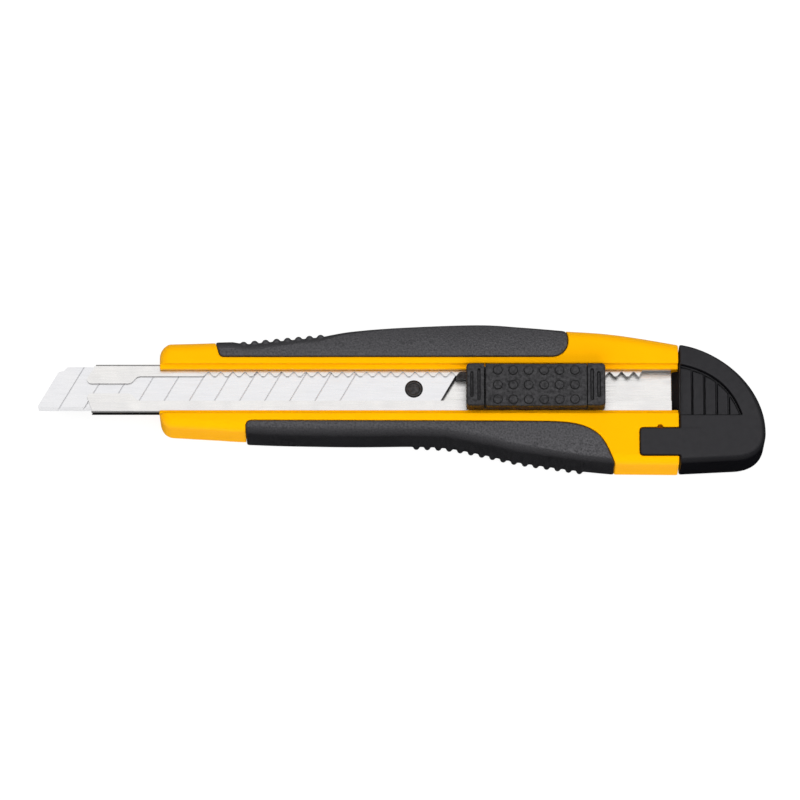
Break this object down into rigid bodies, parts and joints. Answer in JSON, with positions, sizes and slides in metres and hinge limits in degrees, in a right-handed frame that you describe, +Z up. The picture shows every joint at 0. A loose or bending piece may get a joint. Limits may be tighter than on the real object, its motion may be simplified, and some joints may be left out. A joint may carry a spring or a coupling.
{
  "type": "snap off knife",
  "caption": "Snap-off utility knife with a 9 mm blade in a steel sleeve, a studded slider lock, soft black grips on a yellow handle and a pull-off end cap.",
  "frame": {"origin": "bottom centre of the bounding box, on the flat back that the knife lies on", "axes": "+X along the knife from the blade's tip to the end cap, +Z up away from the flat back, the blade's edge faces -Y"},
  "size_m": [0.1448, 0.0288, 0.0138],
  "materials": {
    "yellow_plastic": "satin moulded ABS",
    "soft_grip": "fine matt spark texture",
    "black_plastic": "satin moulded",
    "sleeve_steel": "bright rolled stainless sheet",
    "blade_steel": "ground carbon steel"
  },
  "bodies": {
    "handle": {"handle_body": "yellow_plastic", "upper_grip": "soft_grip", "lower_grip": "soft_grip", "blade_sleeve": "sleeve_steel"},
    "slider": {"slider_base": "black_plastic", "blade_carrier": "black_plastic", "blade": "blade_steel"},
    "pad": {"slider_pad": "black_plastic"},
    "lock": {"lock_nose": "black_plastic", "lock_spring": "sleeve_steel"},
    "cap": {"end_cap": "black_plastic"}
  },
  "joints": [
    {"name": "blade_slide", "type": "slide", "parent": "handle", "child": "slider", "axis": [-1, 0, 0], "range_m": [-0.0121, 0.05082]},
    {"name": "pad_shift", "type": "slide", "parent": "slider", "child": "pad", "axis": [-1, 0, 0], "range_m": [0, 0.0002], "stiffness_N_per_m": 200},
    {"name": "lock_release", "type": "slide", "parent": "slider", "child": "lock", "axis": [0, -1, 0], "range_m": [0, 0.0008], "stiffness_N_per_m": 200},
    {"name": "cap_pull", "type": "slide", "parent": "handle", "child": "cap", "axis": [1, 0, 0], "range_m": [0, 0.025]}
  ],
  "couplings": [
    {"joint": "lock_release", "follows": "pad_shift", "ratio": 4}
  ]
}
